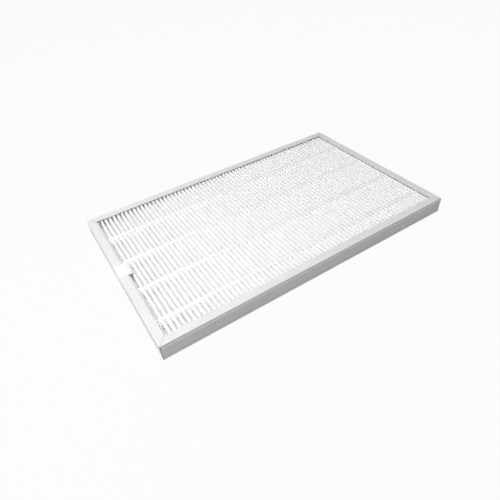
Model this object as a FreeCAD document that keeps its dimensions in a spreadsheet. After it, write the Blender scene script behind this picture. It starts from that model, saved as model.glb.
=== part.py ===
import FreeCAD, Part
import Sketcher
import math
import os

# A flat mini-pleat ventilation filter, lying on its lower face.
# X runs along the long sides, Y from the front rail to the back rail, and Z up.
# The origin is the middle of the frame's footprint, on the surface that it lies on.
# All sizes are in millimetres.

SIZES = (
    ("frame_length", 390.0, "outside length of the frame, along X"),
    ("frame_width", 240.0, "outside width of the frame, along Y"),
    ("frame_height", 21.0, "outside height of the frame"),
    ("rail_thickness", 0.8, "thickness of the rails' metal"),
    ("rail_flange", 10.0, "width of a rail's upper and lower flange"),
    ("rail_bend", 0.6, "inside radius of a rail's two bends"),
    ("mitre_setback", 0.15, "how far each rail stops short of its mitre line"),
    ("angle_arm", 24.0, "length of a corner angle's arm"),
    ("angle_thickness", 0.8, "thickness of a corner angle"),
    ("angle_clearance", 0.1, "gap between a corner angle and the rails"),
    ("seal_thickness", 1.4, "sealant between a rail's wall and the pack"),
    ("pack_recess", 2.3, "depth of the fold tips below the frame's faces"),
    ("media_thickness", 0.5, "thickness of the media, and outside radius of its folds"),
    ("pleat_pitch", 5.57, "distance from fold to fold, before whole pleats are fitted in"),
    ("bead_rows", 4, "glue rows on each face of the pack, evenly spread"),
    ("front_row_inset", 30.75, "from the pack's front edge to the first glue row"),
    ("back_row_inset", 49.75, "from the pack's back edge to the last glue row"),
    ("bead_width", 4.5, "width of a glue bead, along the folds"),
    ("bead_depth", 11.0, "how deep the glue reaches between two pleats"),
    ("bead_crown", 0.4, "thickness of the glue over a fold"),
    ("tab_width", 21.0, "width of the pull tab, along Y"),
    ("tab_thickness", 0.4, "thickness of the pull tab"),
    ("tab_reach", 15.6, "how far the pull tab reaches in from the frame's outer wall"),
    ("tab_drop", 16.0, "how far the pull tab hangs down the outer wall"),
    ("tab_corner", 1.2, "radius of the pull tab's free corners"),
    ("cut_overrun", 1.0, "how far a cutting outline runs past what it cuts"),
)

doc = FreeCAD.newDocument("VentilationFilter")
sheet = doc.addObject("Spreadsheet::Sheet", "Sizes")
for row, (alias, size, meaning) in enumerate(SIZES, start=1):
    sheet.set(f"A{row}", meaning)
    sheet.set(f"B{row}", str(size))
    sheet.setAlias(f"B{row}", alias)
doc.recompute()


def named(expression):
    """The expression with each size's name pointed at the sheet."""
    words = expression
    for alias, _, _ in SIZES:
        words = words.replace(alias, f"Sizes.{alias}")
    return words


# Sizes that follow from the driving ones, as expressions
RAIL_OUTER_BEND = "(rail_bend + rail_thickness)"
ANGLE_START = "(rail_thickness + angle_clearance)"
ANGLE_FACE = "(rail_thickness + angle_clearance + angle_thickness)"
ANGLE_END = "(rail_thickness + angle_clearance + angle_arm)"
ANGLE_HEIGHT = f"(frame_height - 2 * {RAIL_OUTER_BEND} - 2 * angle_clearance)"
PACK_EDGE = "(rail_thickness + seal_thickness)"
PACK_LENGTH = f"(frame_length - 2 * {PACK_EDGE})"
PACK_WIDTH = f"(frame_width - 2 * {PACK_EDGE})"
PACK_TOP = "(frame_height - pack_recess)"
FOLDED_LENGTH = f"({PACK_LENGTH} - 2 * media_thickness)"
PLEATS = f"round({FOLDED_LENGTH} / pleat_pitch)"
PITCH = f"({FOLDED_LENGTH} / {PLEATS})"
VALLEY_CREASE = "(pack_recess + media_thickness)"
RIDGE_CREASE = f"({PACK_TOP} - media_thickness)"
CREASE_RISE = f"({RIDGE_CREASE} - {VALLEY_CREASE})"
CREASE_LINE = f"sqrt(({PITCH} / 2)^2 + {CREASE_RISE}^2)"
FLANK_SLOPE = f"tan(atan({PITCH} / 2 / {CREASE_RISE}) - asin(media_thickness / {CREASE_LINE}))"


def value(expression):
    """The number that an expression comes to."""
    return float(sheet.evalExpression(named(expression)))


def add_body(label):
    body = doc.addObject("PartDesign::Body", label)
    body.Label = label
    return body


def add_sketch(body, name, role):
    """A sketch on one of the body's own origin planes."""
    plane = next(f for f in body.Origin.OriginFeatures if f.Role == role)
    sketch = body.newObject("Sketcher::SketchObject", name)
    sketch.AttachmentSupport = [(plane, "")]
    sketch.MapMode = "FlatFace"
    return sketch


def pin_point(sketch, line, end, across, up):
    """Ties a point to the sketch's origin, or to an axis where its distance is nothing."""
    for kind, axis, distance in (("DistanceX", -2, across), ("DistanceY", -1, up)):
        if distance == "0":
            sketch.addConstraint(Sketcher.Constraint("PointOnObject", line, end, axis))
        else:
            tie = sketch.addConstraint(Sketcher.Constraint(kind, -1, 1, line, end, value(distance)))
            sketch.setExpression(f"Constraints[{tie}]", named(distance))


def draw_outline(sketch, corners):
    """A closed outline of straight lines, with each corner tied to the sizes."""
    points = [FreeCAD.Vector(value(across), value(up), 0) for across, up in corners]
    ends = points[1:] + points[:1]
    lines = [sketch.addGeometry(Part.LineSegment(a, b)) for a, b in zip(points, ends)]
    for line, following in zip(lines, lines[1:] + lines[:1]):
        sketch.addConstraint(Sketcher.Constraint("Coincident", line, 2, following, 1))
    for line, (across, up) in zip(lines, corners):
        pin_point(sketch, line, 1, across, up)


def add_pad(body, sketch, name, length, symmetric=True):
    pad = body.newObject("PartDesign::Pad", name)
    pad.Profile = sketch
    pad.SideType = "Symmetric" if symmetric else "One side"
    pad.setExpression("Length", named(length))
    doc.recompute()
    return pad


def add_pocket(body, sketch, name):
    """Cuts the sketch right through the body, both ways, and makes sure that it cut."""
    before = body.Shape.Volume
    pocket = body.newObject("PartDesign::Pocket", name)
    pocket.Profile = sketch
    pocket.Type = "ThroughAll"
    pocket.SideType = "Symmetric"
    doc.recompute()
    if not 0 < pocket.Shape.Volume < before:
        raise RuntimeError(f"{body.Label}: {name} cut nothing")
    return pocket


def add_fillet(body, name, places, radius):
    """Rounds the edges of the body that pass through the given places."""
    base = body.Tip
    edges = base.Shape.Edges
    chosen = []
    for place in places:
        spot = Part.Vertex(*(value(measure) for measure in place))
        gaps = [edge.distToShape(spot)[0] for edge in edges]
        chosen.append(f"Edge{gaps.index(min(gaps)) + 1}")
    fillet = body.newObject("PartDesign::Fillet", name)
    fillet.Base = (base, chosen)
    fillet.setExpression("Radius", named(radius))
    doc.recompute()
    return fillet


def add_row(body, pad, sketch, name, spacing, copies):
    """Repeats a pad along the sketch's horizontal axis."""
    row = body.newObject("PartDesign::LinearPattern", name)
    row.Originals = [pad]
    row.Direction = (sketch, ["H_Axis"])
    row.Mode = "Spacing"
    row.setExpression("Offset", named(spacing))
    row.setExpression("Occurrences", named(copies))
    body.Tip = row
    doc.recompute()
    return row


def place(body, across="0", along="0", up="0", axis=FreeCAD.Vector(0, 0, 1), turn=0):
    body.Placement = FreeCAD.Placement(FreeCAD.Vector(), FreeCAD.Rotation(axis, turn))
    for direction, distance in (("x", across), ("y", along), ("z", up)):
        body.setExpression(f"Placement.Base.{direction}", named(distance))


# The frame's four sides: name, length, place of the outer wall's middle, and turn about Z
SIDES = (
    ("front", "frame_length", "0", "-frame_width / 2", 0),
    ("right", "frame_width", "frame_length / 2", "0", 90),
    ("back", "frame_length", "0", "frame_width / 2", 180),
    ("left", "frame_width", "-frame_length / 2", "0", 270),
)

# The frame's four corners: name, place and turn about Z
CORNERS = (
    ("front_left", "-frame_length / 2", "-frame_width / 2", 0),
    ("front_right", "frame_length / 2", "-frame_width / 2", 90),
    ("back_right", "frame_length / 2", "frame_width / 2", 180),
    ("back_left", "-frame_length / 2", "frame_width / 2", 270),
)


def mitre_outline(side, length):
    """What a rail loses at one end, beyond its 45 degree mitre line."""
    near = f"{side} * ({length} / 2 - mitre_setback + cut_overrun)"
    far = f"{side} * ({length} / 2 - mitre_setback - rail_flange - cut_overrun)"
    past = f"{side} * ({length} / 2 + 2 * cut_overrun)"
    inner = "rail_flange + cut_overrun"
    outer = "-cut_overrun"
    return ((near, outer), (past, outer), (past, inner), (far, inner))


def make_rail(name, length, across, along, turn):
    """One side of the frame: a folded channel, open towards the pack and mitred at its ends.

    It lies along its own X, with the outer wall at Y = 0 and the flanges reaching to +Y.
    """
    body = add_body(f"{name}_rail")
    section = add_sketch(body, f"{name}_rail_section", "YZ_Plane")
    inner_floor = "rail_thickness"
    inner_roof = "frame_height - rail_thickness"
    draw_outline(section, (
        ("0", "0"),
        ("rail_flange", "0"),
        ("rail_flange", inner_floor),
        ("rail_thickness", inner_floor),
        ("rail_thickness", inner_roof),
        ("rail_flange", inner_roof),
        ("rail_flange", "frame_height"),
        ("0", "frame_height"),
    ))
    add_pad(body, section, f"{name}_rail_channel", length)
    add_fillet(body, f"{name}_rail_outer_bends", (("0", "0", "0"), ("0", "0", "frame_height")), RAIL_OUTER_BEND)
    inner_edges = (("0", "rail_thickness", inner_floor), ("0", "rail_thickness", inner_roof))
    add_fillet(body, f"{name}_rail_inner_bends", inner_edges, "rail_bend")
    mitres = add_sketch(body, f"{name}_rail_mitre_lines", "XY_Plane")
    draw_outline(mitres, mitre_outline("1", length))
    draw_outline(mitres, mitre_outline("-1", length))
    add_pocket(body, mitres, f"{name}_rail_mitres")
    place(body, across, along, turn=turn)
    return body


def make_corner_angle(name, across, along, turn):
    """An angle inside two channels, folded sharp, which holds their mitred corner together."""
    body = add_body(f"{name}_corner_angle")
    outline = add_sketch(body, f"{name}_corner_angle_outline", "XY_Plane")
    draw_outline(outline, (
        (ANGLE_START, ANGLE_START),
        (ANGLE_END, ANGLE_START),
        (ANGLE_END, ANGLE_FACE),
        (ANGLE_FACE, ANGLE_FACE),
        (ANGLE_FACE, ANGLE_END),
        (ANGLE_START, ANGLE_END),
    ))
    add_pad(body, outline, f"{name}_corner_angle_plate", ANGLE_HEIGHT, symmetric=False)
    outer_edge = ((ANGLE_START, ANGLE_START, f"{ANGLE_HEIGHT} / 2"),)
    add_fillet(body, f"{name}_corner_angle_bend", outer_edge, "angle_thickness")
    place(body, across, along, f"{RAIL_OUTER_BEND} + angle_clearance", turn=turn)
    return body


def make_edge_seal(name, length, across, along, turn):
    """The sealant between one rail's wall and the pack, moulded round the corner angles."""
    is_long = length == "frame_length"
    end = ANGLE_FACE if is_long else PACK_EDGE
    body = add_body(f"{name}_edge_seal")
    section = add_sketch(body, f"{name}_edge_seal_section", "YZ_Plane")
    floor = RAIL_OUTER_BEND
    roof = f"frame_height - {RAIL_OUTER_BEND}"
    draw_outline(section, (
        ("rail_thickness", floor),
        (PACK_EDGE, floor),
        (PACK_EDGE, roof),
        ("rail_thickness", roof),
    ))
    add_pad(body, section, f"{name}_edge_seal_strip", f"{length} - 2 * {end}")
    notches = add_sketch(body, f"{name}_edge_seal_notch_lines", "XY_Plane")
    for side in ("1", "-1"):
        draw_outline(notches, (
            (f"{side} * ({length} / 2 - {ANGLE_END})", "rail_thickness - cut_overrun"),
            (f"{side} * {length} / 2", "rail_thickness - cut_overrun"),
            (f"{side} * {length} / 2", ANGLE_FACE),
            (f"{side} * ({length} / 2 - {ANGLE_END})", ANGLE_FACE),
        ))
    add_pocket(body, notches, f"{name}_edge_seal_notches")
    place(body, across, along, turn=turn)
    return body


def draw_pleat(sketch):
    """The section of one pleat, from the middle of one valley to the middle of the next.

    The inside of each fold is a sharp crease, and its outside is an arc about that crease.
    """
    pitch = value(PITCH)
    thickness = value("media_thickness")
    slope = FreeCAD.Vector(1, -value(FLANK_SLOPE), 0).normalize() * thickness
    mirrored = FreeCAD.Vector(-slope.x, slope.y, 0)
    down = FreeCAD.Vector(0, -thickness, 0)
    first = FreeCAD.Vector(0, value(VALLEY_CREASE), 0)
    ridge = FreeCAD.Vector(pitch / 2, value(RIDGE_CREASE), 0)
    last = FreeCAD.Vector(pitch, value(VALLEY_CREASE), 0)

    def line(start, end):
        return sketch.addGeometry(Part.LineSegment(start, end))

    def arc(centre, start, end):
        """An arc about a crease, anticlockwise from start to end."""
        circle = Part.Circle(centre, FreeCAD.Vector(0, 0, 1), thickness)
        return sketch.addGeometry(Part.ArcOfCircle(circle, circle.parameter(start), circle.parameter(end)))

    def tie(kind, *ends):
        return sketch.addConstraint(Sketcher.Constraint(kind, *ends))

    left_top = line(first, ridge - slope)
    right_top = line(ridge - mirrored, last)
    left_under = line(first + slope, ridge)
    right_under = line(ridge, last + mirrored)
    ridge_arc = arc(ridge, ridge - mirrored, ridge - slope)
    first_arc = arc(first, first + down, first + slope)
    last_arc = arc(last, last + mirrored, last + down)
    first_edge = line(first + down, first)
    last_edge = line(last, last + down)

    tie("Tangent", left_top, 2, ridge_arc, 2)
    tie("Tangent", right_top, 1, ridge_arc, 1)
    tie("Tangent", left_under, 1, first_arc, 2)
    tie("Tangent", right_under, 2, last_arc, 1)
    tie("Coincident", left_under, 2, right_under, 1)
    tie("Coincident", ridge_arc, 3, left_under, 2)
    tie("Coincident", first_arc, 3, left_top, 1)
    tie("Coincident", last_arc, 3, right_top, 2)
    tie("Coincident", first_edge, 2, left_top, 1)
    tie("Coincident", last_edge, 1, right_top, 2)
    tie("Coincident", first_edge, 1, first_arc, 1)
    tie("Coincident", last_edge, 2, last_arc, 2)
    tie("Vertical", first_edge)
    tie("Vertical", last_edge)
    tie("Equal", ridge_arc, first_arc)
    tie("Equal", ridge_arc, last_arc)
    radius = tie("Radius", ridge_arc, thickness)
    sketch.setExpression(f"Constraints[{radius}]", named("media_thickness"))
    pin_point(sketch, left_top, 1, "0", VALLEY_CREASE)
    pin_point(sketch, left_under, 2, f"{PITCH} / 2", RIDGE_CREASE)
    pin_point(sketch, right_top, 2, PITCH, VALLEY_CREASE)


def draw_end_leg(sketch, side, crease):
    """The section of the sheet's last stretch, folded upright about the crease in an end valley."""
    centre = FreeCAD.Vector(value(crease), value(VALLEY_CREASE), 0)
    thickness = value("media_thickness")
    circle = Part.Circle(centre, FreeCAD.Vector(0, 0, 1), thickness)
    quarter = (math.pi, 1.5 * math.pi) if side < 0 else (-0.5 * math.pi, 0)
    fold = sketch.addGeometry(Part.ArcOfCircle(circle, *quarter))
    outer_end, inner_end = (1, 2) if side < 0 else (2, 1)
    foot = centre + FreeCAD.Vector(side * thickness, 0, 0)
    rise = FreeCAD.Vector(0, value(PACK_TOP) - centre.y, 0)
    corners = (foot, foot + rise, centre + rise, centre - FreeCAD.Vector(0, thickness, 0))
    lines = [sketch.addGeometry(Part.LineSegment(a, b)) for a, b in zip(corners, corners[1:])]
    sketch.addConstraint(Sketcher.Constraint("Tangent", lines[0], 1, fold, outer_end))
    sketch.addConstraint(Sketcher.Constraint("Coincident", lines[0], 2, lines[1], 1))
    sketch.addConstraint(Sketcher.Constraint("Coincident", lines[1], 2, lines[2], 1))
    sketch.addConstraint(Sketcher.Constraint("Coincident", lines[2], 2, fold, inner_end))
    sketch.addConstraint(Sketcher.Constraint("Vertical", lines[0]))
    sketch.addConstraint(Sketcher.Constraint("Vertical", lines[2]))
    radius = sketch.addConstraint(Sketcher.Constraint("Radius", fold, thickness))
    sketch.setExpression(f"Constraints[{radius}]", named("media_thickness"))
    pin_point(sketch, fold, 3, crease, VALLEY_CREASE)
    pin_point(sketch, lines[2], 1, crease, PACK_TOP)


def make_media():
    """One sheet of media, folded to and fro along the frame, with an upright leg at each end.

    It starts at X = 0 in its own frame, in the middle of its first valley.
    """
    body = add_body("pleated_media")
    section = add_sketch(body, "pleat_section", "XZ_Plane")
    draw_pleat(section)
    pleat = add_pad(body, section, "pleat", PACK_WIDTH)
    add_row(body, pleat, section, "pleats", PITCH, PLEATS)
    legs = add_sketch(body, "end_leg_sections", "XZ_Plane")
    draw_end_leg(legs, -1, "0")
    draw_end_leg(legs, 1, f"{PLEATS} * {PITCH}")
    add_pad(body, legs, "end_legs", PACK_WIDTH)
    place(body, f"-{PLEATS} * {PITCH} / 2")
    return body


def make_glue_bead(name, teeth, start, along, is_upper):
    """A row of glue over the folds of one face, with a tooth down between each two pleats.

    It is drawn for the upper face, with its first tooth at X = 0 in its own frame, and turned
    over about X for the lower one.
    """
    body = add_body(name)
    section = add_sketch(body, f"{name}_section", "XZ_Plane")
    tooth_end = f"{PACK_TOP} - bead_depth"
    half_end = f"({tooth_end} - {VALLEY_CREASE}) * {FLANK_SLOPE}"
    half_mouth = f"({PACK_TOP} - {VALLEY_CREASE}) * {FLANK_SLOPE}"
    draw_outline(section, (
        (f"-{half_end}", tooth_end),
        (half_end, tooth_end),
        (half_mouth, PACK_TOP),
        (f"{PITCH} / 2", PACK_TOP),
        (f"{PITCH} / 2", f"{PACK_TOP} + bead_crown"),
        (f"-{PITCH} / 2", f"{PACK_TOP} + bead_crown"),
        (f"-{PITCH} / 2", PACK_TOP),
        (f"-{half_mouth}", PACK_TOP),
    ))
    tooth = add_pad(body, section, f"{name}_tooth", "bead_width")
    add_row(body, tooth, section, f"{name}_teeth", PITCH, teeth)
    if is_upper:
        place(body, start, along)
    else:
        place(body, start, along, "frame_height", FreeCAD.Vector(1, 0, 0), 180)
    return body


def make_pull_tab():
    """A flat strip stuck down the left wall and over the left rail, with a free end over the pleats.

    Its own origin is at the foot of the left rail's outer wall, with X towards the pack.
    """
    body = add_body("pull_tab")
    section = add_sketch(body, "pull_tab_section", "XZ_Plane")
    draw_outline(section, (
        ("-tab_thickness", "frame_height - tab_drop"),
        ("0", "frame_height - tab_drop"),
        ("0", "frame_height"),
        ("tab_reach", "frame_height"),
        ("tab_reach", "frame_height + tab_thickness"),
        ("-tab_thickness", "frame_height + tab_thickness"),
    ))
    add_pad(body, section, "pull_tab_strip", "tab_width")
    add_fillet(body, "pull_tab_inner_bend", (("0", "0", "frame_height"),), RAIL_OUTER_BEND)
    outer_edge = (("-tab_thickness", "0", "frame_height + tab_thickness"),)
    add_fillet(body, "pull_tab_outer_bend", outer_edge, f"{RAIL_OUTER_BEND} + tab_thickness")
    middle = "frame_height + tab_thickness / 2"
    free_corners = (("tab_reach", "tab_width / 2", middle), ("tab_reach", "-tab_width / 2", middle))
    add_fillet(body, "pull_tab_free_corners", free_corners, "tab_corner")
    place(body, "-frame_length / 2")
    return body


bodies = [make_rail(*side) for side in SIDES]
bodies += [make_corner_angle(*corner) for corner in CORNERS]
bodies += [make_edge_seal(*side) for side in SIDES]
bodies.append(make_media())

FRONT_ROW = f"(front_row_inset - {PACK_WIDTH} / 2)"
ROW_SPACING = f"({PACK_WIDTH} - front_row_inset - back_row_inset) / (bead_rows - 1)"
UPPER_START = f"{PITCH} - {PLEATS} * {PITCH} / 2"
LOWER_START = f"{PITCH} / 2 - {PLEATS} * {PITCH} / 2"
for row in range(int(value("bead_rows"))):
    row_place = f"{FRONT_ROW} + {row} * {ROW_SPACING}"
    bodies.append(make_glue_bead(f"upper_glue_bead_{row + 1}", f"{PLEATS} - 1", UPPER_START, row_place, True))
    bodies.append(make_glue_bead(f"lower_glue_bead_{row + 1}", PLEATS, LOWER_START, row_place, False))
bodies.append(make_pull_tab())

doc.recompute()
for thing in doc.Objects:
    if {"Invalid", "Error"} & set(thing.State):
        raise RuntimeError(f"{thing.Name}: {thing.State}")
for body in bodies:
    if body.Shape.isNull() or not body.Shape.isValid() or len(body.Shape.Solids) != 1:
        raise RuntimeError(f"{body.Label} isn't one valid solid")

os.makedirs("parts", exist_ok=True)
for body in bodies:
    body.Shape.exportStep(f"parts/{body.Label}.step")
    box = body.Shape.BoundBox
    print(f"{body.Label}: {body.Shape.Volume:.1f} mm3, {box.XLength:.2f} x {box.YLength:.2f} x {box.ZLength:.2f}")
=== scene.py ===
import math

import bmesh
import bpy
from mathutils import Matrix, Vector


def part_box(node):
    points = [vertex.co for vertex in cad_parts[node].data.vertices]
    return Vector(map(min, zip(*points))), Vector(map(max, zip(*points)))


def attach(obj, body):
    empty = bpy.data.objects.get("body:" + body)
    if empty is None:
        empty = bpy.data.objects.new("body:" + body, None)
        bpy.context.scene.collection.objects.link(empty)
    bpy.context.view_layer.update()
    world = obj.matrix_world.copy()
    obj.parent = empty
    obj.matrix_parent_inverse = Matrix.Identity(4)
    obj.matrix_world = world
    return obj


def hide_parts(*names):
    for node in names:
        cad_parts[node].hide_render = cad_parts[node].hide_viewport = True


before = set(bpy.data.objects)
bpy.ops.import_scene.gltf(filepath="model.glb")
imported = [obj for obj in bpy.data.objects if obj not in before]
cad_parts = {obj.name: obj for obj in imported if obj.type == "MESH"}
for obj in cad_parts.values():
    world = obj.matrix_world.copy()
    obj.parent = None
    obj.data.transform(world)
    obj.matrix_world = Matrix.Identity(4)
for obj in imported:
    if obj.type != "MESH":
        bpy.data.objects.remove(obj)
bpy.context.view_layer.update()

bl_info = {
    "name": "Ventilation filter",
    "version": (1, 0, 0),
    "blender": (4, 5, 0),
    "location": "View3D > Sidebar > Filter",
    "description": "Models a mini-pleat panel filter: metal frame, pleated media, glue rows and pull tab",
    "category": "Add Mesh",
}

FRAME_LOW, FRAME_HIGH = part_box("front_rail")[0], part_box("back_rail")[1]
LEFT_EDGE, RIGHT_EDGE = FRAME_LOW.x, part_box("right_rail")[1].x
FRONT_EDGE, BACK_EDGE, TOP = FRAME_LOW.y, FRAME_HIGH.y, FRAME_HIGH.z
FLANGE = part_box("front_rail")[1].y - FRONT_EDGE
PACK_LOW, PACK_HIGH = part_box("pleated_media")
TAB_LOW, TAB_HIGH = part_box("pull_tab")

# Glue rows on each face of the pack
ROWS = 4
# Distance in metres under which two points count as one
TINY = 0.00001
# Share of a displacement that is left where glue or a rail holds the piece
HELD = 0.12
# Distance in metres from a glue row or rail over which a pleat comes free
FREE_SPAN = 0.022
# Share of the pitch, from a glue tooth's middle, past which the glue lies over a fold
OVER_FOLD = 0.4
# How far the glue's underside rises over a fold, as a share of the film
FOLD_RISE = 0.7
# How much wider the glue is at the foot of its film than at its crown
FOOT_SPREAD = 1.2
# Steps down a glue tooth: its length along the row and its width, as shares of the step above
TOOTH_STEPS = ((0.82, 1.25), (0.6, 0.75))
# How the glue sinks between two folds: reach in pleat pitches, depth in notches
NOTCH_STEPS = ((0.4, 0.2), (0.2, 0.45), (0.1, 0.35))
# How the glue falls towards the row's edges: start in row widths, depth in crowns
EDGE_STEPS = ((0.2, 0.2), (0.4, 0.8))
# Half the thickness in metres that the pull tab takes up on the frame
TAB_HALF = 0.0002
# Share of the flange's width at which the pull tab's waves start
WAVE_START = 0.6
# How the pull tab's free end sinks, as shares of the whole droop
DROOP_STEPS = (0.05, 0.2, 0.3, 0.45)

# The range that most of a noise lies in
NOISE_LOW, NOISE_HIGH = 0.3, 0.7

# The camera's place in metres and its turn in degrees
CAMERA_PLACE = (-0.2272, -0.3651, 0.3371)
CAMERA_TURN = (48.1087, 3.7614, -32.6548)
CAMERA_SENSOR = 36.0
CAMERA_CLIP = (0.01, 50.0)
FLOOR_SIZE = 12.0
# The floor lies a little below the filter, so that the two don't share a plane
FLOOR_HEIGHT = -0.0002
# Share of plain white in what the camera sees of the floor, and in the background
FLOOR_WHITE = 0.95
SKY_WHITE = 1.0
# Bounces that carry the light down between the pleats
LIGHT_BOUNCES = 12


def length(name, text, size):
    """A size in metres that the sidebar shows."""
    return bpy.props.FloatProperty(
        name=name, description=text, default=size, precision=5, unit="LENGTH", subtype="DISTANCE"
    )


def number(name, text, amount, least):
    """A whole number that the sidebar shows."""
    return bpy.props.IntProperty(name=name, description=text, default=amount, min=least)


def watts(name, text, power):
    """A lamp's power that the sidebar shows."""
    return bpy.props.FloatProperty(name=name, description=text, default=power, unit="POWER")


def colour(name, text, rgb):
    """A colour that the sidebar shows."""
    return bpy.props.FloatVectorProperty(
        name=name, description=text, default=rgb, size=3, min=0.0, max=1.0, subtype="COLOR"
    )


class FrameSizes(bpy.types.PropertyGroup):
    sheet: length("Sheet thickness", "Thickness of the frame's sheet metal", 0.0008)
    fold: length("Fold radius", "Outer radius of the folds along the rails", 0.0007)
    groove: length("Groove", "Depth of the groove beside each fold of the long rails", 0.001)
    groove_place: length("Groove place", "Distance of the groove from the flange's face", 0.0015)
    strip: length("Strip", "Distance of the wall's flat part from the flange's face", 0.004)
    slit: length("Corner slit", "How far the walls' ends stand back at the corners", 0.0005)
    mitre_gap: length("Mitre gap", "Distance of each rail's mitred end from the corner's diagonal", 0.00015)
    edge: length("Edge rounding", "Rounding of the cut edges", 0.00012)


class PackSizes(bpy.types.PropertyGroup):
    pleats: number("Pleats", "Number of pleats in the pack", 69, 2)
    paper: length("Media thickness", "Thickness of the filter media", 0.0005)
    fold: length("Pleat fold radius", "Radius of a pleat's fold, in the middle of the media", 0.001)
    end_leg: length("End leg", "Thickness of the space that each end leg takes up", 0.0005)
    stations: number("Stations", "Steps along each pleat, between the front and the back rail", 48, 8)
    wander: length("Pleat wander", "How far the pleats wander sideways between the glue rows", 0.0002)
    unevenness: length("Pleat unevenness", "How far the folds differ in height", 0.00006)


class GlueSizes(bpy.types.PropertyGroup):
    width: length("Row width", "Width of a glue row over the folds", 0.005)
    crown: length("Crown", "Height of the glue above the folds", 0.0004)
    film: length("Film", "How far the glue reaches down beside a fold", 0.0009)
    depth: length("Depth", "How far the glue reaches down between the pleats", 0.011)
    notch: length("Notch", "How far the glue sinks between two folds", 0.0007)
    drift: length("Drift", "How far a row strays from a straight line", 0.0016)
    raggedness: length("Raggedness", "How uneven the edges of a row are", 0.0016)
    lumps: length("Lumps", "Size of the lumps in the glue", 0.0005)


class TabSizes(bpy.types.PropertyGroup):
    cloth: length("Fabric thickness", "Thickness of the pull tab's fabric", 0.00036)
    bend: length("Bend radius", "Radius over the frame's edge, in the middle of the fabric", 0.0016)
    corner: length("Corner rounding", "Rounding of the tab's free corners", 0.0012)
    droop: length("Droop", "How far the free end hangs down", 0.0006)
    waves: length("Waves", "How uneven the free end is", 0.0007)


class FilterColours(bpy.types.PropertyGroup):
    metal: colour("Frame", "Colour of the frame's matt metal", (0.82, 0.815, 0.81))
    angle: colour("Corner angles", "Colour of the zinc coated corner angles", (0.56, 0.57, 0.58))
    media: colour("Media", "Colour of the filter media", (0.97, 0.972, 0.972))
    glue: colour("Glue", "Colour of the glue rows", (0.95, 0.95, 0.94))
    sealant: colour("Sealant", "Colour of the edge sealant", (0.86, 0.86, 0.84))
    tab: colour("Pull tab", "Colour of the pull tab's fabric", (0.94, 0.94, 0.94))
    floor: colour("Floor", "Colour of the floor", (0.45, 0.45, 0.45))


class StudioSettings(bpy.types.PropertyGroup):
    sky: bpy.props.FloatProperty(name="Sky", description="Strength of the even light", default=0.15)
    top_power: watts("Top lamp", "Power of the large lamp above the filter", 4.65)
    left_power: watts("Left lamp", "Power of the small lamp beside the left end", 1.2)
    front_power: watts("Front lamp", "Power of the lamp high in front of the left end", 6.65)
    focal_length: bpy.props.FloatProperty(
        name="Focal length", description="Focal length of the camera", default=29.69, unit="CAMERA"
    )


def pick(piece):
    """Select a piece alone and make it the active one."""
    bpy.ops.object.select_all(action="DESELECT")
    piece.select_set(True)
    bpy.context.view_layer.objects.active = piece


def open_new(name, columns, rows, spread, turn, middle):
    """Add a grid, give it its size and place, and open it for editing."""
    bpy.ops.object.select_all(action="DESELECT")
    bpy.ops.mesh.primitive_grid_add(x_subdivisions=columns, y_subdivisions=rows, size=1)
    piece = bpy.context.object
    piece.name = name
    piece.data.name = name
    piece.scale = (*spread, 1)
    piece.rotation_euler = [math.radians(angle) for angle in turn]
    piece.location = middle
    bpy.ops.object.transform_apply(location=True, rotation=True, scale=True)
    bpy.ops.object.mode_set(mode="EDIT")
    return piece


def reopen(piece):
    """Open a piece for editing, with all of it selected."""
    pick(piece)
    bpy.ops.object.mode_set(mode="EDIT")
    bpy.ops.mesh.select_mode(type="VERT")
    bpy.ops.mesh.select_all(action="SELECT")


def choose(piece, kind, test):
    """Select the open piece's vertices, edges or faces whose middle passes a test."""
    bpy.ops.mesh.select_mode(type=kind)
    bpy.ops.mesh.select_all(action="DESELECT")
    mesh = bmesh.from_edit_mesh(piece.data)
    if kind == "VERT":
        for vertex in mesh.verts:
            vertex.select_set(bool(test(vertex.co)))
    if kind == "EDGE":
        for edge in mesh.edges:
            edge.select_set(bool(test((edge.verts[0].co + edge.verts[1].co) / 2)))
    if kind == "FACE":
        for face in mesh.faces:
            face.select_set(bool(test(face.calc_center_median())))
    mesh.select_flush_mode()
    bmesh.update_edit_mesh(piece.data)


def extrude(step):
    """Extrude what is selected by a step, and leave the new end selected."""
    bpy.ops.mesh.extrude_region_move(TRANSFORM_OT_translate={"value": step})


def move(step):
    """Move what is selected."""
    bpy.ops.transform.translate(value=step)


def wrap(middle, angle, steps):
    """Carry the chosen edge round an axis along Y."""
    # Blender's spin turns the other way round
    bpy.ops.mesh.spin(steps=steps, angle=-angle, center=middle, axis=(0, 1, 0))


def close(piece, outward):
    """Merge doubles, turn the faces so that their sum points outward, and leave edit mode."""
    bpy.ops.mesh.select_mode(type="VERT")
    bpy.ops.mesh.select_all(action="SELECT")
    bpy.ops.mesh.remove_doubles(threshold=TINY)
    bpy.ops.mesh.normals_make_consistent(inside=False)
    faces = bmesh.from_edit_mesh(piece.data).faces
    if sum(face.normal.dot(outward) * face.calc_area() for face in faces) < 0:
        bpy.ops.mesh.flip_normals()
    bpy.ops.object.mode_set(mode="OBJECT")


def modify(piece, kind, **settings):
    """Add a modifier and apply it."""
    modifier = piece.modifiers.new(kind.title(), kind)
    for name, value in settings.items():
        setattr(modifier, name, value)
    pick(piece)
    bpy.ops.object.modifier_apply(modifier=modifier.name)


def repeat(piece, times, pitch):
    """Repeat a piece along X, with the copies joined where they meet."""
    modify(
        piece,
        "ARRAY",
        count=times,
        use_relative_offset=False,
        use_constant_offset=True,
        constant_offset_displace=(pitch, 0, 0),
        use_merge_vertices=True,
        merge_threshold=TINY,
    )


def unsettle(piece, texture, direction, strength, group=""):
    """Make a piece uneven by a noise texture, along an axis or its normals."""
    modify(piece, "DISPLACE", texture=texture, direction=direction, strength=strength, vertex_group=group)


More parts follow.
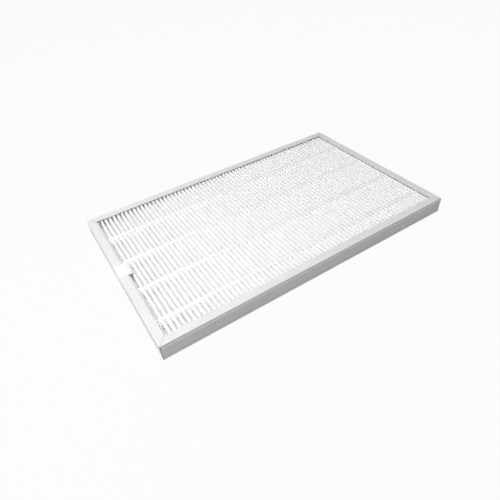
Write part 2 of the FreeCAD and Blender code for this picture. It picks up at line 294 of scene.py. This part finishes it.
def cloud(name, size):
    """A noise texture for uneven shapes, with patches of about a size in metres."""
    texture = bpy.data.textures.new(name, "CLOUDS")
    texture.noise_scale = size
    texture.noise_depth = 2
    texture.cloud_type = "GRAYSCALE"
    return texture


def copy_of(piece, name):
    """A copy with its own mesh."""
    twin = piece.copy()
    twin.data = piece.data.copy()
    twin.name = name
    twin.data.name = name
    bpy.context.scene.collection.objects.link(twin)
    return twin


def smooth(piece, angle):
    """Shade a piece smooth, with sharp edges where its faces meet at more than an angle."""
    pick(piece)
    bpy.ops.object.shade_smooth_by_angle(angle=math.radians(angle))


def hand_over(piece, finish, slot, *nodes):
    """Give the finished piece its material and its place in the frame."""
    piece.data.materials.clear()
    piece.data.materials.append(finish)
    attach(piece, "root")
    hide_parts(*nodes)


class Finish:
    """A node material that starts from a principled surface on object coordinates."""

    def __init__(self, name, base, roughness, metallic=0.0):
        self.material = bpy.data.materials.new(name)
        self.material.use_nodes = True
        self.tree = self.material.node_tree
        self.surface = self.tree.nodes["Principled BSDF"]
        self.surface.inputs["Base Color"].default_value = (*base, 1.0)
        self.surface.inputs["Roughness"].default_value = roughness
        self.surface.inputs["Metallic"].default_value = metallic
        self.base = base
        self.place = self.tree.nodes.new("ShaderNodeTexCoord").outputs["Object"]

    def join(self, source, target):
        """Link two sockets."""
        self.tree.links.new(source, target)

    def stretched(self, scale):
        """Object coordinates with a scale of their own for each axis."""
        node = self.tree.nodes.new("ShaderNodeMapping")
        node.inputs["Scale"].default_value = scale
        self.join(self.place, node.inputs["Vector"])
        return node.outputs["Vector"]

    def noise(self, scale, detail=3.0, roughness=0.5, place=None):
        """Soft noise."""
        node = self.tree.nodes.new("ShaderNodeTexNoise")
        node.inputs["Scale"].default_value = scale
        node.inputs["Detail"].default_value = detail
        node.inputs["Roughness"].default_value = roughness
        self.join(place or self.place, node.inputs["Vector"])
        return node.outputs["Fac"]

    def cells(self, scale):
        """Distance from the middles of scattered cells."""
        node = self.tree.nodes.new("ShaderNodeTexVoronoi")
        node.inputs["Scale"].default_value = scale
        self.join(self.place, node.inputs["Vector"])
        return node.outputs["Distance"]

    def tint(self, value, dark, light, start=NOISE_LOW, end=NOISE_HIGH):
        """The base colour, from darker to lighter, by a value."""
        node = self.tree.nodes.new("ShaderNodeValToRGB")
        node.color_ramp.elements[0].position = start
        node.color_ramp.elements[1].position = end
        node.color_ramp.elements[0].color = (*(part * dark for part in self.base), 1.0)
        node.color_ramp.elements[1].color = (*(min(part * light, 1.0) for part in self.base), 1.0)
        self.join(value, node.inputs["Fac"])
        self.join(node.outputs["Color"], self.surface.inputs["Base Color"])

    def rough(self, value, low, high):
        """The roughness, from low to high, by a value."""
        node = self.tree.nodes.new("ShaderNodeMapRange")
        node.inputs["From Min"].default_value = NOISE_LOW
        node.inputs["From Max"].default_value = NOISE_HIGH
        node.inputs["To Min"].default_value = low
        node.inputs["To Max"].default_value = high
        self.join(value, node.inputs["Value"])
        self.join(node.outputs["Result"], self.surface.inputs["Roughness"])

    def bump(self, *layers):
        """Bumps on top of each other, each a value, a strength and a height in metres."""
        below = None
        for value, strength, height in layers:
            node = self.tree.nodes.new("ShaderNodeBump")
            node.inputs["Strength"].default_value = strength
            node.inputs["Distance"].default_value = height
            self.join(value, node.inputs["Height"])
            if below:
                self.join(below, node.inputs["Normal"])
            below = node.outputs["Normal"]
        self.join(below, self.surface.inputs["Normal"])


def sheet_metal(name, base, along):
    """Matt rolled metal with fine lines along the rail."""
    finish = Finish(name, base, roughness=0.5)
    scale_along, scale_across = 60, 2600
    scales = [scale_along if axis == along else scale_across for axis in range(3)]
    lines = finish.noise(scale=1.0, detail=4.0, roughness=0.6, place=finish.stretched(scales))
    patches = finish.noise(scale=38.0, detail=3.0, roughness=0.55)
    finish.tint(patches, dark=0.95, light=1.03)
    finish.rough(lines, low=0.42, high=0.58)
    finish.bump((patches, 0.25, 0.00008), (lines, 0.35, 0.00002))
    return finish.material


def zinc_coat(name, base):
    """Zinc coat with soft spangles."""
    finish = Finish(name, base, roughness=0.45, metallic=1.0)
    spangles = finish.cells(scale=420.0)
    grain = finish.noise(scale=900.0)
    finish.tint(spangles, dark=0.86, light=1.06, start=0.1, end=0.8)
    finish.rough(spangles, low=0.36, high=0.56)
    finish.bump((grain, 0.2, 0.00003))
    return finish.material


def fibre_media(name, base):
    """Matt web of fine fibres."""
    finish = Finish(name, base, roughness=0.95)
    finish.surface.inputs["Specular IOR Level"].default_value = 0.2
    fibres = finish.noise(scale=2400.0, detail=5.0, roughness=0.7)
    cloudiness = finish.noise(scale=160.0, detail=3.0, roughness=0.6)
    finish.tint(cloudiness, dark=0.985, light=1.015)
    finish.bump((cloudiness, 0.15, 0.00004), (fibres, 0.25, 0.00002))
    return finish.material


def glue_mass(name, base):
    """Set glue with a soft shine and small ripples."""
    finish = Finish(name, base, roughness=0.5)
    ripples = finish.noise(scale=700.0)
    patches = finish.noise(scale=240.0)
    finish.tint(patches, dark=0.97, light=1.03)
    finish.rough(ripples, low=0.38, high=0.6)
    finish.bump((ripples, 0.5, 0.00015))
    return finish.material


def sealant_mass(name, base):
    """Rubbery sealant with a few pits."""
    finish = Finish(name, base, roughness=0.7)
    pits = finish.cells(scale=520.0)
    patches = finish.noise(scale=90.0)
    grain = finish.noise(scale=1500.0)
    finish.tint(patches, dark=0.95, light=1.03)
    finish.rough(pits, low=0.6, high=0.8)
    finish.bump((pits, 0.3, 0.0002), (grain, 0.3, 0.00005))
    return finish.material


def bonded_fabric(name, base):
    """Bonded fabric: crossing fibres and small pressed points."""
    finish = Finish(name, base, roughness=0.9)
    finish.surface.inputs["Sheen Weight"].default_value = 0.15
    finish.surface.inputs["Sheen Roughness"].default_value = 0.6
    one_way = finish.noise(scale=1.0, detail=4.0, roughness=0.7, place=finish.stretched((900, 3600, 3600)))
    other_way = finish.noise(scale=1.0, detail=4.0, roughness=0.7, place=finish.stretched((3600, 900, 3600)))
    points = finish.cells(scale=1150.0)
    patches = finish.noise(scale=500.0, detail=4.0, roughness=0.7)
    finish.tint(patches, dark=0.95, light=1.02)
    finish.bump((points, 0.4, 0.00012), (one_way, 0.4, 0.00005), (other_way, 0.4, 0.00005))
    return finish.material


def model_rail(name, run, distance, groove):
    """A rail in the front rail's place: a wall with two folded flanges, mitred at both ends."""
    sizes = bpy.context.scene.filter_frame
    middle = (0, -distance, TOP / 2)
    piece = open_new(name, columns=24, rows=1, spread=(run, TOP), turn=(90, 0, 0), middle=middle)
    for height in (0, TOP):
        choose(piece, "EDGE", lambda at: abs(at.z - height) < TINY and at.y < TINY - distance)
        extrude((0, FLANGE, 0))
    if groove:
        # Two rows of points near each flange: the outer one moves in, so the strip between them slopes
        for height in (sizes.groove_place, sizes.strip, TOP - sizes.strip, TOP - sizes.groove_place):
            bpy.ops.mesh.select_all(action="SELECT")
            bpy.ops.mesh.bisect(plane_co=(0, 0, height), plane_no=(0, 0, 1))
        for height in (sizes.groove_place, TOP - sizes.groove_place):
            choose(piece, "VERT", lambda at: abs(at.z - height) < TINY)
            move((0, groove, 0))
    choose(piece, "EDGE", lambda at: at.y < TINY - distance and abs(at.z - TOP / 2) > TOP / 2 - TINY)
    bpy.ops.mesh.bevel(offset=sizes.fold, segments=6, profile=0.5, affect="EDGES")
    close(piece, Vector((0, -1, 0)))
    modify(piece, "SOLIDIFY", thickness=sizes.sheet, offset=-1.0)
    for side in (-1, 1):
        reopen(piece)
        bpy.ops.mesh.bisect(
            plane_co=(side * (run / 2 - sizes.mitre_gap), -distance, 0),
            plane_no=(side, 1, 0),
            clear_outer=True,
            use_fill=True,
        )
        # The wall's end stands back from the corner, between the two flanges
        corner = Vector((side * run / 2, -distance, 0))
        reach, wall = 2.5 * sizes.sheet, TOP / 2 - sizes.sheet
        choose(piece, "VERT", lambda at: (at - corner).xy.length < reach and abs(at.z - TOP / 2) < wall)
        move((-side * sizes.slit, 0, 0))
        bpy.ops.object.mode_set(mode="OBJECT")
    modify(piece, "BEVEL", width=sizes.edge, segments=2, limit_method="ANGLE", angle_limit=math.radians(50))
    smooth(piece, angle=25.0)
    if groove:
        # The strip ends in a crisp line on the wall
        reopen(piece)
        choose(piece, "EDGE", lambda at: abs(abs(at.z - TOP / 2) - TOP / 2 + sizes.strip) < TINY)
        bpy.ops.mesh.mark_sharp()
        bpy.ops.object.mode_set(mode="OBJECT")
    modify(piece, "WEIGHTED_NORMAL", keep_sharp=True)
    return piece


def turn_round(piece, angle):
    """Turn a piece about the frame's middle."""
    pick(piece)
    piece.rotation_euler = (0, 0, math.radians(angle))
    bpy.ops.object.transform_apply(location=False, rotation=True, scale=False)


class FILTER_OT_rails(bpy.types.Operator):
    """Model the frame: four folded rails with mitred corners"""

    bl_idname = "filter.rails"
    bl_label = "Frame rails"

    def execute(self, context):
        metal, groove = context.scene.filter_colours.metal, context.scene.filter_frame.groove
        along_x = sheet_metal("matt_sheet_along_length", metal, 0)
        along_y = sheet_metal("matt_sheet_along_width", metal, 1)
        long_rail = model_rail("front_rail_sheet", RIGHT_EDGE - LEFT_EDGE, -FRONT_EDGE, groove)
        short_rail = model_rail("left_rail_sheet", BACK_EDGE - FRONT_EDGE, RIGHT_EDGE, 0)
        back_rail = copy_of(long_rail, "back_rail_sheet")
        right_rail = copy_of(short_rail, "right_rail_sheet")
        for piece, angle, finish, node in (
            (long_rail, 0, along_x, "front_rail"),
            (right_rail, 90, along_y, "right_rail"),
            (back_rail, 180, along_x, "back_rail"),
            (short_rail, 270, along_y, "left_rail"),
        ):
            turn_round(piece, angle)
            hand_over(piece, finish, "frame_metal", node)
        return {"FINISHED"}


def row_places():
    """Where the middle of each glue row lies, along the short sides."""
    boxes = [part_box(f"upper_glue_bead_{row + 1}") for row in range(ROWS)]
    return [(low.y + high.y) / 2 for low, high in boxes]


def pleat_pitch():
    """Distance from one pleat to the next, with whole pleats in the pack."""
    sizes = bpy.context.scene.filter_pack
    return (PACK_HIGH.x - PACK_LOW.x - 2 * sizes.end_leg) / sizes.pleats


def model_pleats(name):
    """The media in the middle of its thickness: one pleat, repeated, with a leg at each end."""
    sizes = bpy.context.scene.filter_pack
    pitch, fold = pleat_pitch(), sizes.fold
    first = PACK_LOW.x + sizes.end_leg
    low, high = PACK_LOW.z + sizes.paper / 2, PACK_HIGH.z - sizes.paper / 2
    # The flanks lean so that they run straight into the round folds
    rise = high - low - 2 * fold
    lean = math.atan2(pitch / 2, rise) - math.asin(2 * fold / math.hypot(pitch / 2, rise))
    flank = math.sqrt((pitch / 2) ** 2 + rise**2 - (2 * fold) ** 2)
    step = Vector((math.sin(lean), 0, -math.cos(lean))) * flank / 2
    quarter = math.pi / 2 - lean
    middle = (first + pitch / 4, 0, (low + high) / 2)
    spread, tilt = (flank, PACK_HIGH.y - PACK_LOW.y), (0, math.degrees(lean) - 90, 0)
    piece = open_new(name, columns=2, rows=sizes.stations, spread=spread, turn=tilt, middle=middle)
    choose(piece, "VERT", lambda at: at.z > middle[2] + flank / 3)
    wrap((first + pitch / 2, 0, high - fold), 2 * quarter, steps=5)
    extrude(step)
    extrude(step)
    wrap((first + pitch, 0, low + fold), -quarter, steps=2)
    choose(piece, "VERT", lambda at: at.z < middle[2] - flank / 3 and at.x < first + pitch / 4)
    wrap((first, 0, low + fold), quarter, steps=2)
    close(piece, Vector((0, 0, 1)))
    repeat(piece, sizes.pleats, pitch)
    # At each end of the pack a last leg stands up against the sealant
    for side in (-1, 1):
        reopen(piece)
        edge, turn = side * (first + pitch * (sizes.pleats if side > 0 else 0)), sizes.end_leg / 2
        choose(piece, "VERT", lambda at: at.x * side > edge - TINY)
        wrap((side * edge, 0, low + turn), -side * math.pi / 2, steps=2)
        extrude((0, 0, high - low - 2 * turn))
        close(piece, Vector((0, 0, 1)))
    return piece


def loosen(piece, places):
    """Add a vertex group that is 1 midway between the glue rows and rails, and near 0 at them."""
    held = [FRONT_EDGE, *places, BACK_EDGE]
    group = piece.vertex_groups.new(name="free")
    for vertex in piece.data.vertices:
        gap = min(abs(vertex.co.y - place) for place in held)
        group.add([vertex.index], min(1.0, HELD + gap / FREE_SPAN), "REPLACE")


class FILTER_OT_pack(bpy.types.Operator):
    """Model the pack: one sheet of media folded to and fro, a little uneven between the glue rows"""

    bl_idname = "filter.pack"
    bl_label = "Pleated media"

    def execute(self, context):
        sizes = context.scene.filter_pack
        piece = model_pleats("media_sheet")
        loosen(piece, row_places())
        unsettle(piece, cloud("pleat_wander", 0.009), "X", sizes.wander, "free")
        unsettle(piece, cloud("fold_heights", 0.006), "Z", sizes.unevenness, "free")
        modify(piece, "SOLIDIFY", thickness=sizes.paper, offset=0.0)
        smooth(piece, angle=60.0)
        finish = fibre_media("fibre_web", context.scene.filter_colours.media)
        hand_over(piece, finish, "filter_media", "pleated_media")
        return {"FINISHED"}


def model_glue_row(name, start, teeth):
    """A glue row in the middle of the upper face: teeth between the folds, joined over the folds."""
    sizes = bpy.context.scene.filter_glue
    pitch = pleat_pitch()
    middle, top = start + pitch / 2, PACK_HIGH.z + sizes.crown
    underside, sunk = PACK_HIGH.z - sizes.film, PACK_HIGH.z - sizes.notch
    spread = (pitch, sizes.width)
    piece = open_new(name, columns=6, rows=4, spread=spread, turn=(0, 0, 0), middle=(middle, 0, top))
    bpy.ops.mesh.select_all(action="SELECT")
    extrude((0, 0, underside - top))
    choose(piece, "VERT", lambda at: at.z < underside + TINY and abs(at.x - middle) > OVER_FOLD * pitch)
    move((0, 0, FOLD_RISE * sizes.film))
    choose(piece, "FACE", lambda at: at.z < underside + TINY and abs(at.x - middle) < pitch / 3)
    for along, across in TOOTH_STEPS:
        extrude((0, 0, (PACK_HIGH.z - sizes.depth - underside) / len(TOOTH_STEPS)))
        bpy.ops.transform.resize(value=(along, across, 1), center_override=(middle, 0, 0))
    for reach, sink in NOTCH_STEPS:
        choose(piece, "VERT", lambda at: at.z > sunk and abs(at.x - middle) < reach * pitch)
        move((0, 0, -sink * sizes.notch))
    for start_share, sink in EDGE_STEPS:
        choose(piece, "VERT", lambda at: at.z > underside + TINY and abs(at.y) > start_share * sizes.width)
        move((0, 0, -sink * sizes.crown))
    choose(piece, "VERT", lambda at: abs(at.z - underside) < TINY and abs(at.x - middle) < OVER_FOLD * pitch)
    bpy.ops.transform.resize(value=(1, FOOT_SPREAD, 1), center_override=(middle, 0, 0))
    # Without its end faces each tooth joins the next one
    choose(piece, "FACE", lambda at: abs(at.x - middle) > pitch / 2 - TINY)
    bpy.ops.mesh.delete(type="ONLY_FACE")
    close(piece, Vector((0, 0, 1)))
    repeat(piece, teeth, pitch)
    for edge in (start, start + teeth * pitch):
        reopen(piece)
        choose(piece, "VERT", lambda at: abs(at.x - edge) < TINY)
        bpy.ops.mesh.edge_face_add()
        # The row is closed now, so no side counts as outward
        close(piece, Vector((0, 0, 0)))
    return piece


class FILTER_OT_glue_rows(bpy.types.Operator):
    """Model the glue rows: four on each face of the pack, lumpy and a little ragged"""

    bl_idname = "filter.glue_rows"
    bl_label = "Glue rows"

    def execute(self, context):
        sizes = context.scene.filter_glue
        pitch, pleats = pleat_pitch(), context.scene.filter_pack.pleats
        first = PACK_LOW.x + context.scene.filter_pack.end_leg
        upper = model_glue_row("upper_glue_row", first + pitch / 2, pleats - 1)
        lower = model_glue_row("lower_glue_row", first, pleats)
        # The lower rows are upside down, and their teeth stand in the gaps that open downwards
        reopen(lower)
        bpy.ops.transform.rotate(value=math.pi, orient_axis="X", center_override=(0, 0, TOP / 2))
        bpy.ops.object.mode_set(mode="OBJECT")
        finish = glue_mass("set_glue", context.scene.filter_colours.glue)
        drift = cloud("glue_drift", 0.02)
        edges = cloud("glue_edges", 0.003)
        lumps = cloud("glue_lumps", 0.0018)
        for face, pattern in (("upper", upper), ("lower", lower)):
            for row, place in enumerate(row_places()):
                piece = copy_of(pattern, f"{face}_glue_row_{row + 1}")
                reopen(piece)
                move((0, place, 0))
                bpy.ops.object.mode_set(mode="OBJECT")
                unsettle(piece, drift, "Y", sizes.drift)
                unsettle(piece, edges, "Y", sizes.raggedness)
                unsettle(piece, lumps, "NORMAL", sizes.lumps)
                smooth(piece, angle=80.0)
                hand_over(piece, finish, "glue", f"{face}_glue_bead_{row + 1}")
        bpy.data.objects.remove(upper)
        bpy.data.objects.remove(lower)
        return {"FINISHED"}


class FILTER_OT_pull_tab(bpy.types.Operator):
    """Model the pull tab: a strip of bonded fabric, stuck over the left rail, with a free end"""

    bl_idname = "filter.pull_tab"
    bl_label = "Pull tab"

    def execute(self, context):
        sizes = context.scene.filter_tab
        width = TAB_HIGH.y - TAB_LOW.y
        wall, top, bend = TAB_LOW.x + TAB_HALF, TAB_HIGH.z - TAB_HALF, sizes.bend
        stuck = LEFT_EDGE + FLANGE - wall - bend
        free = TAB_HIGH.x - LEFT_EDGE - FLANGE
        drop = top - bend - TAB_LOW.z
        middle = (wall, 0, TAB_LOW.z + drop / 2)
        spread, turn = (drop, width), (0, -90, 0)
        piece = open_new("pull_tab_strip", columns=8, rows=14, spread=spread, turn=turn, middle=middle)
        choose(piece, "VERT", lambda at: at.z > top - bend - TINY)
        wrap((wall + bend, 0, top - bend), math.pi / 2, steps=5)
        stuck_steps = 6
        for _ in range(stuck_steps):
            extrude((stuck / stuck_steps, 0, 0))
        for share in DROOP_STEPS:
            extrude((free / len(DROOP_STEPS), 0, -share * sizes.droop))
        choose(piece, "VERT", lambda at: at.x > TAB_HIGH.x - TINY and abs(at.y) > width / 2 - TINY)
        bpy.ops.mesh.bevel(offset=sizes.corner, segments=4, affect="VERTICES")
        close(piece, Vector((-1, 0, 1)))
        modify(piece, "SUBSURF", subdivision_type="SIMPLE", levels=2, render_levels=2)
        group = piece.vertex_groups.new(name="free_end")
        for vertex in piece.data.vertices:
            past = (vertex.co.x - LEFT_EDGE - WAVE_START * FLANGE) / free
            group.add([vertex.index], min(1.0, max(HELD, past)), "REPLACE")
        unsettle(piece, cloud("tab_waves", 0.008), "NORMAL", sizes.waves, "free_end")
        modify(piece, "SOLIDIFY", thickness=sizes.cloth, offset=0.0)
        smooth(piece, angle=50.0)
        finish = bonded_fabric("bonded_fabric", context.scene.filter_colours.tab)
        hand_over(piece, finish, "tab_fabric", "pull_tab")
        return {"FINISHED"}


class FILTER_OT_hidden_parts(bpy.types.Operator):
    """Finish the corner angles and the edge sealant, which the rails cover"""

    bl_idname = "filter.hidden_parts"
    bl_label = "Corner angles and sealant"

    def execute(self, context):
        colours = context.scene.filter_colours
        zinc = zinc_coat("zinc_coat", colours.angle)
        sealant = sealant_mass("edge_sealant", colours.sealant)
        for name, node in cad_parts.items():
            if name.endswith("corner_angle"):
                node.data.materials.clear()
                node.data.materials.append(zinc)
            if name.endswith("edge_seal"):
                node.data.materials.clear()
                node.data.materials.append(sealant)
        return {"FINISHED"}


def show_white(tree, shaded, shine, share):
    """Mix a plain white into a shader, only where it is looked at directly, in gloss or through glass."""
    rays = tree.nodes.new("ShaderNodeLightPath")
    total = rays.outputs["Is Camera Ray"]
    for other in ("Is Glossy Ray", "Is Transmission Ray"):
        either = tree.nodes.new("ShaderNodeMath")
        either.operation = "MAXIMUM"
        tree.links.new(total, either.inputs[0])
        tree.links.new(rays.outputs[other], either.inputs[1])
        total = either.outputs["Value"]
    part = tree.nodes.new("ShaderNodeMath")
    part.operation = "MULTIPLY"
    part.inputs[1].default_value = share
    tree.links.new(total, part.inputs[0])
    mix = tree.nodes.new("ShaderNodeMixShader")
    tree.links.new(part.outputs["Value"], mix.inputs["Fac"])
    tree.links.new(shaded, mix.inputs[1])
    tree.links.new(shine, mix.inputs[2])
    return mix.outputs["Shader"]


def add_lamp(name, place, span, power):
    """A square soft lamp, turned to the filter's middle."""
    bpy.ops.object.light_add(type="AREA", location=place)
    lamp = bpy.context.object
    lamp.name = name
    lamp.data.name = name
    lamp.data.size = span
    lamp.data.energy = power
    lamp.rotation_euler = (-Vector(place)).to_track_quat("-Z", "Y").to_euler()


class FILTER_OT_stage(bpy.types.Operator):
    """Set the stage: pale floor, even light, three soft lamps and the camera"""

    bl_idname = "filter.stage"
    bl_label = "Stage"

    def execute(self, context):
        studio = context.scene.filter_studio
        bpy.ops.object.select_all(action="DESELECT")
        bpy.ops.mesh.primitive_plane_add(size=FLOOR_SIZE, location=(0, 0, FLOOR_HEIGHT))
        floor = context.object
        floor.name = "floor"
        pale = Finish("pale_floor", context.scene.filter_colours.floor, roughness=0.8)
        pale.surface.inputs["Specular IOR Level"].default_value = 0.0
        glow = pale.tree.nodes.new("ShaderNodeEmission")
        seen = show_white(pale.tree, pale.surface.outputs["BSDF"], glow.outputs["Emission"], FLOOR_WHITE)
        pale.join(seen, pale.tree.nodes["Material Output"].inputs["Surface"])
        floor.data.materials.append(pale.material)

        world = bpy.data.worlds.new("studio")
        context.scene.world = world
        world.use_nodes = True
        tree = world.node_tree
        sky = tree.nodes["Background"]
        sky.inputs["Color"].default_value = (1, 1, 1, 1)
        sky.inputs["Strength"].default_value = studio.sky
        plain = tree.nodes.new("ShaderNodeBackground")
        plain.inputs["Color"].default_value = (1, 1, 1, 1)
        seen = show_white(tree, sky.outputs["Background"], plain.outputs["Background"], SKY_WHITE)
        tree.links.new(seen, tree.nodes["World Output"].inputs["Surface"])

        add_lamp("top_lamp", place=(-0.3, 0, 1.2), span=1.0, power=studio.top_power)
        add_lamp("front_lamp", place=(-0.46, -0.46, 1.13), span=0.6, power=studio.front_power)
        add_lamp("left_lamp", place=(-0.5, 0, 0.4), span=0.4, power=studio.left_power)

        bpy.ops.object.camera_add(location=CAMERA_PLACE)
        camera = context.object
        camera.name = "camera"
        camera.rotation_euler = [math.radians(angle) for angle in CAMERA_TURN]
        camera.data.lens = studio.focal_length
        camera.data.sensor_width = CAMERA_SENSOR
        camera.data.clip_start, camera.data.clip_end = CAMERA_CLIP
        context.scene.camera = camera
        context.scene.view_settings.view_transform = "Standard"
        context.scene.cycles.diffuse_bounces = LIGHT_BOUNCES
        return {"FINISHED"}


STEPS = (
    FILTER_OT_rails,
    FILTER_OT_pack,
    FILTER_OT_glue_rows,
    FILTER_OT_pull_tab,
    FILTER_OT_hidden_parts,
    FILTER_OT_stage,
)
SETTINGS = {
    "filter_frame": FrameSizes,
    "filter_pack": PackSizes,
    "filter_glue": GlueSizes,
    "filter_tab": TabSizes,
    "filter_colours": FilterColours,
    "filter_studio": StudioSettings,
}


class VIEW3D_PT_filter(bpy.types.Panel):
    """The filter's sizes, colours and steps, in the sidebar"""

    bl_label = "Ventilation filter"
    bl_space_type = "VIEW_3D"
    bl_region_type = "UI"
    bl_category = "Filter"

    def draw(self, context):
        for name, settings in SETTINGS.items():
            group = getattr(context.scene, name)
            column = self.layout.column()
            for setting in settings.__annotations__:
                column.prop(group, setting)
        for step in STEPS:
            self.layout.operator(step.bl_idname)


CLASSES = (*SETTINGS.values(), *STEPS, VIEW3D_PT_filter)


def register():
    for kind in CLASSES:
        bpy.utils.register_class(kind)
    for name, kind in SETTINGS.items():
        setattr(bpy.types.Scene, name, bpy.props.PointerProperty(type=kind))


def unregister():
    for name in SETTINGS:
        delattr(bpy.types.Scene, name)
    for kind in reversed(CLASSES):
        bpy.utils.unregister_class(kind)


def main():
    register()
    bpy.ops.filter.rails()
    bpy.ops.filter.pack()
    bpy.ops.filter.glue_rows()
    bpy.ops.filter.pull_tab()
    bpy.ops.filter.hidden_parts()
    bpy.ops.filter.stage()


if __name__ == "__main__":
    main()
